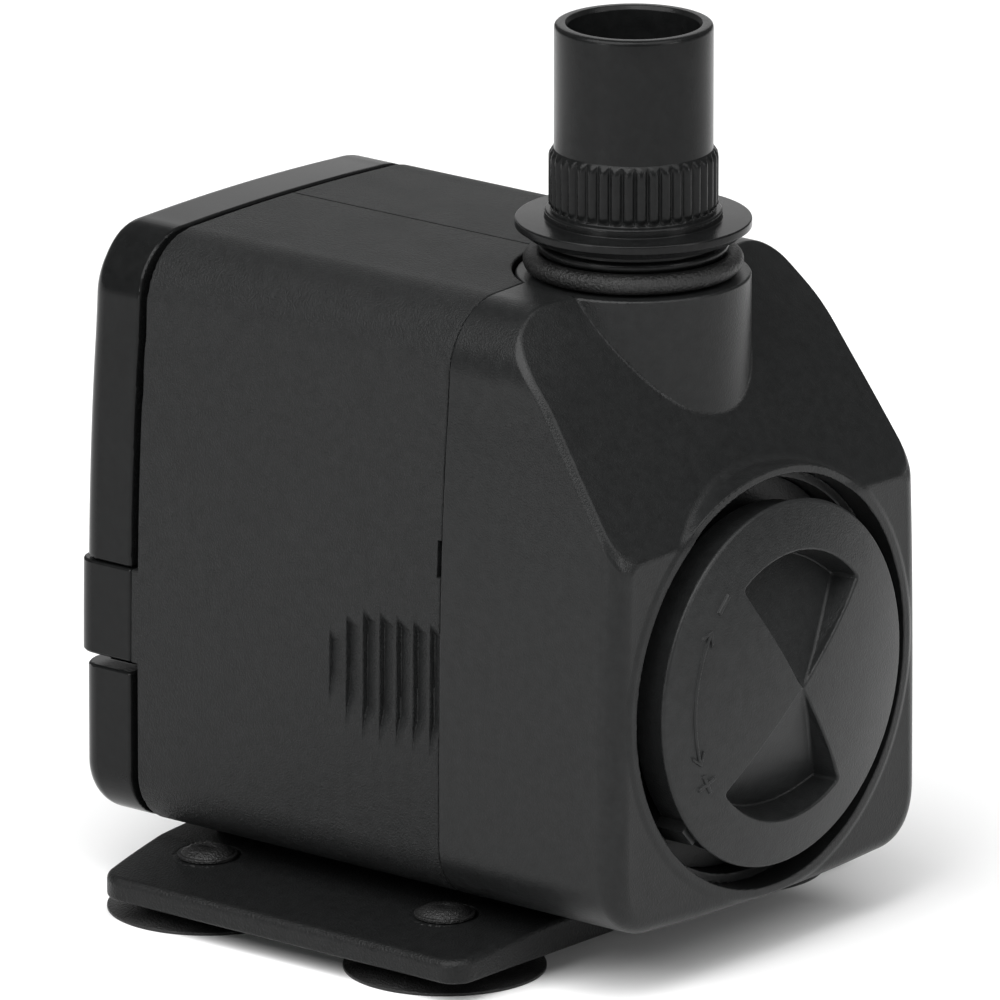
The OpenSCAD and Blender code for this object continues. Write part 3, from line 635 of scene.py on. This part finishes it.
def ramp(nodes, links, value, stops):
    r = nodes.new("ShaderNodeValToRGB")
    r.color_ramp.elements[0].position, r.color_ramp.elements[0].color = stops[0]
    r.color_ramp.elements[1].position, r.color_ramp.elements[1].color = stops[-1]
    for at, colour in stops[1:-1]:
        r.color_ramp.elements.new(at).color = colour
    links.new(value, r.inputs["Fac"])
    return r.outputs["Color"]


def grey(v, tint=(1.0, 1.0, 1.0)):
    return (v * tint[0], v * tint[1], v * tint[2], 1.0)


def spread(nodes, links, value, low, high):
    m = nodes.new("ShaderNodeMapRange")
    m.inputs["To Min"].default_value = low
    m.inputs["To Max"].default_value = high
    links.new(value, m.inputs["Value"])
    return m.outputs["Result"]


def bump(nodes, links, shader, heights, distance, strength):
    """Chains bumps of (height, distance, strength) onto the shader."""
    normal = None
    for height, far, strong in zip(heights, distance, strength):
        b = nodes.new("ShaderNodeBump")
        b.inputs["Distance"].default_value = far
        b.inputs["Strength"].default_value = strong
        links.new(height, b.inputs["Height"])
        if normal is not None:
            links.new(normal, b.inputs["Normal"])
        normal = b.outputs["Normal"]
    links.new(normal, shader.inputs["Normal"])


COOL = (0.98, 1.02, 1.03)                   # the black plastic's faint cast


def plastic(name, base, rough, grain, grain_depth, grain_strength, shine):
    """Moulded black plastic: a fine eroded grain, a close mottle, slow gloss changes, faint waviness."""
    m, nodes, links, shader, place = node_material(name)
    mottle = noise(nodes, links, place, 900.0, 3.0, 0.7)
    colour = ramp(nodes, links, mottle, [(0.3, grey(base * 0.8, COOL)), (0.7, grey(base * 1.22, COOL))])
    links.new(colour, shader.inputs["Base Color"])
    cloud = noise(nodes, links, place, 170.0, 5.0, 0.6)
    links.new(spread(nodes, links, cloud, rough - 0.05, rough + 0.05), shader.inputs["Roughness"])
    fine = noise(nodes, links, place, grain, 2.0, 0.5)
    wave = noise(nodes, links, place, 90.0, 1.0, 0.4)
    bump(nodes, links, shader, (wave, fine), (0.00012, grain_depth), (0.25, grain_strength))
    shader.inputs["Specular IOR Level"].default_value = shine
    return m


def rubber(name, base, rough):
    """Matt black rubber with a faint bloom."""
    m, nodes, links, shader, place = node_material(name)
    bloom = noise(nodes, links, place, 260.0, 6.0, 0.65)
    colour = ramp(nodes, links, bloom, [(0.35, grey(base)), (0.75, grey(base * 2.2))])
    links.new(colour, shader.inputs["Base Color"])
    links.new(spread(nodes, links, bloom, rough - 0.1, rough + 0.12), shader.inputs["Roughness"])
    fine = noise(nodes, links, place, 3200.0, 3.0)
    bump(nodes, links, shader, (fine,), (0.0003,), (0.8,))
    shader.inputs["Specular IOR Level"].default_value = 0.3
    return m


def metal(name, colour, rough, stripes=None):
    """Bare metal; stripes (axis, scale) are laminations or turns of wire."""
    m, nodes, links, shader, place = node_material(name)
    shader.inputs["Metallic"].default_value = 1.0
    mottled = noise(nodes, links, place, 320.0, 4.0)
    low = tuple(c * 0.82 for c in colour) + (1.0,)
    high = tuple(min(1.0, c * 1.1) for c in colour) + (1.0,)
    links.new(ramp(nodes, links, mottled, [(0.3, low), (0.7, high)]), shader.inputs["Base Color"])
    links.new(spread(nodes, links, mottled, rough - 0.06, rough + 0.08), shader.inputs["Roughness"])
    height = mottled
    if stripes:
        wave = nodes.new("ShaderNodeTexWave")
        wave.bands_direction = stripes[0]
        wave.inputs["Scale"].default_value = stripes[1]
        wave.inputs["Distortion"].default_value = 0.4
        links.new(place, wave.inputs["Vector"])
        height = wave.outputs["Fac"]
    bump(nodes, links, shader, (height,), (0.00008,), (0.5,))
    return m


def pale(name, colour, rough):
    """Plain nylon, ferrite or ceramic: a slightly mottled surface."""
    m, nodes, links, shader, place = node_material(name)
    mottled = noise(nodes, links, place, 140.0, 4.0)
    low = tuple(c * 0.9 for c in colour) + (1.0,)
    high = tuple(min(1.0, c * 1.06) for c in colour) + (1.0,)
    links.new(ramp(nodes, links, mottled, [(0.3, low), (0.7, high)]), shader.inputs["Base Color"])
    links.new(spread(nodes, links, mottled, rough - 0.05, rough + 0.05), shader.inputs["Roughness"])
    bump(nodes, links, shader, (noise(nodes, links, place, 900.0, 3.0),), (0.00003,), (0.3,))
    return m


def floor_material():
    m, nodes, links, shader, place = node_material("pale_floor")
    soft = noise(nodes, links, place, 3.0, 2.0)
    colour = ramp(nodes, links, soft, [(0.3, grey(0.86)), (0.7, grey(0.88))])
    links.new(colour, shader.inputs["Base Color"])
    links.new(spread(nodes, links, soft, 0.85, 0.9), shader.inputs["Roughness"])
    shader.inputs["Specular IOR Level"].default_value = 0.2
    return m


# A plastic's numbers: base grey, roughness, then its grain's scale, depth and strength, and its shine.
FINISHES = (
    (plastic, "housing_plastic", 0.0095, 0.44, 5200.0, 0.0002, 0.8, 0.16),
    (plastic, "cover_plastic", 0.009, 0.3, 5200.0, 0.00006, 0.6, 0.17),
    (plastic, "rear_plastic", 0.006, 0.19, 6200.0, 0.00001, 0.1, 0.12),
    (plastic, "dial_plastic", 0.0125, 0.33, 5200.0, 0.00006, 0.6, 0.18),
    (plastic, "outlet_plastic", 0.0062, 0.2, 6200.0, 0.00004, 0.5, 0.12),
    (plastic, "plate_plastic", 0.0065, 0.4, 4200.0, 0.00012, 0.9, 0.16),
    (plastic, "potting_resin", 0.01, 0.15, 900.0, 0.00001, 0.1, 0.2),
    (rubber, "black_rubber", 0.0065, 0.42),
    (pale, "inner_plastic", (0.72, 0.72, 0.68), 0.4),
    (pale, "rotor_ferrite", (0.06, 0.058, 0.058), 0.5),
    (pale, "shaft_ceramic", (0.85, 0.83, 0.78), 0.18),
    (metal, "core_steel", (0.45, 0.46, 0.48), 0.42, ("Y", 320.0)),
    (metal, "winding_wire", (0.6, 0.22, 0.08), 0.3, ("Z", 500.0)),
    (metal, "rivet_brass", (0.72, 0.56, 0.32), 0.3),
    (metal, "screw_steel", (0.6, 0.61, 0.62), 0.28),
)
FINISH = {name: make(name, *values) for make, name, *values in FINISHES}

for entry in frame["record"]["subparts"]:
    obj = frame["nodes"][entry["node"]]
    obj.data.materials.clear()
    obj.data.materials.append(FINISH[entry["material_slot"]])


def place(obj, body, slot, *nodes):
    """Gives a new piece its finish and its body, and hides the CAD nodes it stands for."""
    obj.data.materials.append(FINISH[slot])
    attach(obj, body)
    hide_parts(*nodes)
    return obj


# ---- the pieces -------------------------------------------------------------

# Each grid is finer where its piece has small detail.

def make_housing():
    xs = spaced(-HALF_W - 0.6, HALF_W + 0.6, 0.5, (-HALF_W - 0.2, -HALF_W + 1.0, 0.14),
                (-0.24, 0.24, 0.06), (HALF_W - 1.0, HALF_W + 0.2, 0.14))
    ys = spaced(SEAM_Y - LIP - 0.6, REAR_SEAM_Y + 0.6, 0.5, (SEAM_Y - 0.3, 3.8, 0.13), (28.0, 30.2, 0.2))
    zs = spaced(FOOT_Z - 0.6, TOP_Z + 0.6, 0.45, (21.5, 37.5, 0.22), (41.0, 45.2, 0.2),
                (TOP_Z - 0.4, TOP_Z + 0.1, 0.08))
    shell = net("motor_housing_shell", housing_field, xs, ys, zs)
    place(shell, "motor", "housing_plastic", "motor_housing")


def make_cover():
    step = 0.3
    xs = spaced(-HALF_W - 0.7, HALF_W + 0.7, step, (-24.8, -21.8, 0.17), (21.8, 24.8, 0.17))
    ys = spaced(-FRONT_Y - 0.7, cover_high[1] + 0.7, step, (-FRONT_Y - 0.3, -32.5, 0.14),
                (SEAM_Y - 0.4, SEAM_Y + 0.3, 0.15))
    zs = spaced(FOOT_Z - 0.7, TOP_Z + 0.7, step, (44.5, 48.5, 0.16))
    place(net("front_cover_shell", cover_field, xs, ys, zs), "cover", "cover_plastic", "front_cover")


def make_rear():
    xs = spaced(-HALF_W - 0.6, HALF_W + 0.6, 0.45)
    ys = spaced(HOUSING_END - 1.3, BAND_BACK_Y + 0.6, 0.25)
    high = spaced(BAND_HIGH - 0.4, TOP_Z + 0.6, 0.42)
    low = spaced(FOOT_Z - 0.6, BAND_LOW, 0.4)
    middle = spaced(BAND_LOW - 0.5, BAND_HIGH + 0.5, 0.3)
    for node, field, zs in (("rear_cover_upper", rear_upper_field, high),
                            ("rear_cover_lower", rear_lower_field, low),
                            ("rear_band", rear_band_field, middle)):
        place(net(node + "_shell", field, xs, ys, zs), "motor", "rear_plastic", node)


def make_gland():
    """The rubber bush in the rear band, with a rounded rim and two shallow grooves in its bore."""
    front, back = (v[1] for v in node_box("cord_gland"))
    bore_r, groove_r, outer_r = 3.0, 3.2, 4.4
    corners = [(bore_r, front, 0.1), (outer_r, front, 0.1), (outer_r, BAND_BACK_Y - 0.5, 0.05),
               (outer_r, back, 0.35), (3.5, back, 0.25), (bore_r, back - 0.5, 0.2)]
    for middle in (back - 1.5, back - 2.5):
        corners += [(bore_r, middle + 0.25, 0.1), (groove_r, middle, 0.1), (bore_r, middle - 0.25, 0.1)]
    gland = lathe("cord_gland_bush", rounded_profile(corners), (0, 0, AXIS_Z), 160, backward=True)
    place(gland, "motor", "black_rubber", "cord_gland")


def make_plate():
    xs = spaced(-PLATE_HALF[0] - 0.6, PLATE_HALF[0] + 0.6, 0.4)
    ys = spaced(plate_low[1] - 0.6, plate_high[1] + 0.6, 0.4)
    zs = spaced(plate_low[2] - 0.5, plate_high[2] + 0.5, 0.2)
    place(net("base_plate_slab", plate_field, xs, ys, zs), "motor", "plate_plastic", "base_plate")


def make_dial():
    xs = spaced(-DIAL_R - 0.9, DIAL_R + 0.6, 0.2, (-16.0, -10.2, 0.11))
    ys = spaced(dial_low[1] - 0.5, dial_high[1] + 0.5, 0.3, (dial_low[1] - 0.3, -32.0, 0.16))
    zs = spaced(AXIS_Z - DIAL_R - 0.9, AXIS_Z + DIAL_R + 0.6, 0.2, (AXIS_Z - 9.0, AXIS_Z - 3.5, 0.11),
                (AXIS_Z + 7.0, AXIS_Z + 12.4, 0.11))
    place(net("flow_dial_disc", dial_field, xs, ys, zs), "dial", "dial_plastic", "flow_dial")


KNURL_COUNT, KNURL_R, KNURL_LOW, KNURL_HIGH, KNURL_RISE = 40, 8.2, 75.7, 81.6, 0.52


def knurl(angle, r, h):
    """Rounded upright ribs on the collar, their ends rounded off."""
    rib = np.abs(np.cos(angle * KNURL_COUNT / 2)) ** 0.75
    low_end = smooth_step(h, KNURL_LOW - 0.05, KNURL_LOW + 0.35)
    high_end = 1 - smooth_step(h, KNURL_HIGH - 0.55, KNURL_HIGH + 0.02)
    on = (r > KNURL_R - 0.3) & (h > KNURL_LOW - 0.3) & (h < KNURL_HIGH + 0.3)
    return np.where(on, (rib * KNURL_RISE - 0.18) * (low_end * high_end), 0)


def make_outlet():
    """The adaptor from its tail up: the seal's seat, bead, flange, knurled collar and spigot."""
    top = outlet_high[2]
    bore_r, spigot_r, collar_r, flange_r = 6.6, 8.0, 8.95, 11.92
    tail_r, seat_r, bead_r = 8.2, 8.9, 9.6
    tail_z, bead_z, flange_z, flange_top = 57.5, 71.2, 72.94, 74.56
    corners = [
        (bore_r, tail_z, 0.2), (tail_r, tail_z, 0.4), (tail_r, 69.0, 0.05), (seat_r, 69.05, 0.05),
        (seat_r, bead_z, 0.05), (bead_r, bead_z, 0.35), (bead_r, 72.0, 0.35), (seat_r, 72.1, 0.1),
        (seat_r, flange_z, 0.2), (10.9, flange_z, 0.3), (11.35, 73.6, 0.3), (flange_r, 73.7, 0.15),
        (flange_r, flange_top, 0.2), (collar_r, flange_top, 0.1), (collar_r, 75.45, 0.4),
        (8.35, 75.5, 0.1)]
    corners += [(KNURL_R, KNURL_LOW + (KNURL_HIGH - KNURL_LOW) * k / 16) for k in range(17)]
    corners += [
        (spigot_r, 81.75, 0.1), (spigot_r, top - 4, 0), (spigot_r, top, 0.75),
        (bore_r + 0.3, top, 0.2), (bore_r, top - 0.4, 0.2), (bore_r, 76, 0)]
    adaptor = lathe("outlet_spigot_tube", rounded_profile(corners), (0, BOSS_Y, 0), 640, knurl)
    place(adaptor, "adaptor", "outlet_plastic", "outlet_adaptor")


def make_seal():
    ring_r, cord_r = 10.05, 1.05
    mid = (seal_low[2] + seal_high[2]) / 2
    angles = np.linspace(0, 2 * math.pi, 40, endpoint=False)
    ring = np.stack([ring_r + cord_r * np.cos(angles), cord_r * np.sin(angles)], 1)
    seal = lathe("outlet_seal_ring", ring, (0, BOSS_Y, mid), 256)
    place(seal, "seal_ring", "black_rubber", "outlet_seal")


def make_cups():
    """Each cup from its hollow underside out to the lip, up the neck and over its head."""
    lip_r, neck_r, head_r = 10.28, 2.2, 3.1
    shoulder_z, seat_z = 2.17, HEAD_Z + 0.03
    corners = [
        (0, 1.1), (3.0, 0.98, 2), (7.4, 0.42, 2), (9.78, 0.0, 0.1), (lip_r, 0.0, 0.08), (lip_r, 0.32, 0.12),
        (8.0, 0.95, 3), (4.4, 1.7, 2), (3.2, shoulder_z, 0.2), (neck_r, shoulder_z, 0.1),
        (neck_r, seat_z, 0), (head_r, seat_z, 0.1), (head_r, HEAD_Z + 0.4, 0.12),
        (2.72, HEAD_Z + 0.42, 0.08), (2.66, HEAD_Z + 0.55, 0.2), (1.9, HEAD_Z + 0.98, 1.2),
        (0, HEAD_Z + 1.1)]
    profile = rounded_profile(corners)
    profile[:, 0] = np.maximum(profile[:, 0], 0.001)
    for name, (cx, cy) in CUP_XY.items():
        cup = lathe("suction_cup_rubber_" + name, profile, (cx, cy, 0), 128)
        place(cup, "motor", "black_rubber", "suction_cup_" + name)


make_housing()
make_cover()
make_rear()
make_gland()
make_plate()
make_dial()
make_outlet()
make_seal()
make_cups()


# ---- floor, lights and camera -----------------------------------------------

def make_floor():
    size = 12.0
    bpy.ops.mesh.primitive_plane_add(size=size, location=(0, 0, 0))
    floor = bpy.context.object
    floor.name = "studio_floor"
    floor.data.materials.append(floor_material())


def direction(azimuth, elevation):
    """From the pump towards an azimuth and an elevation; azimuth 0 is straight ahead of the dial."""
    a, e = math.radians(azimuth), math.radians(elevation)
    return Vector((math.sin(a) * math.cos(e), -math.cos(a) * math.cos(e), math.sin(e)))


def stand(obj, target, way, distance):
    """Puts a light or the camera at a distance from its target, looking at it."""
    obj.location = target + way * distance
    obj.rotation_mode = "QUATERNION"
    obj.rotation_quaternion = (-way).to_track_quat("-Z", "Y")
    bpy.context.scene.collection.objects.link(obj)


def softbox(name, azimuth, elevation, distance, size, power):
    """A square area light aimed at the pump's middle."""
    light = bpy.data.lights.new(name, "AREA")
    light.shape = "RECTANGLE"
    light.size, light.size_y = size, size
    light.energy = power
    obj = bpy.data.objects.new(name, light)
    obj.visible_camera = False
    stand(obj, Vector((0, 0, 0.04)), direction(azimuth, elevation), distance)


def make_world(strength):
    world = bpy.data.worlds.new("studio")
    world.use_nodes = True
    back = next(n for n in world.node_tree.nodes if n.type == "BACKGROUND")
    back.inputs["Color"].default_value = (1, 1, 1, 1)
    back.inputs["Strength"].default_value = strength
    bpy.context.scene.world = world


def make_camera():
    data = bpy.data.cameras.new("camera")
    data.lens, data.sensor_width = 614.4, 36.0
    data.clip_start, data.clip_end = 0.1, 50
    cam = bpy.data.objects.new("camera", data)
    look_at, distance = Vector((-0.00341, -0.00153, 0.04303)), 1.7244
    stand(cam, look_at, direction(-50.08, 16.01), distance)
    bpy.context.scene.camera = cam


make_floor()
for name, azimuth, elevation, distance, size, power in (
        ("key", -95, 53, 1.6, 1.6, 41),
        ("fill", -5, 58, 1.6, 1.6, 22),
        ("edge_left", -94, 8, 1.3, 0.25, 2.2),
        ("edge_right", 6, 15, 1.3, 0.3, 3.0),
        ("back_rim", 128, 17, 1.6, 0.8, 1.4)):
    softbox(name, azimuth, elevation, distance, size, power)
make_world(0.18)
make_camera()
bpy.context.scene.view_settings.view_transform = "Standard"
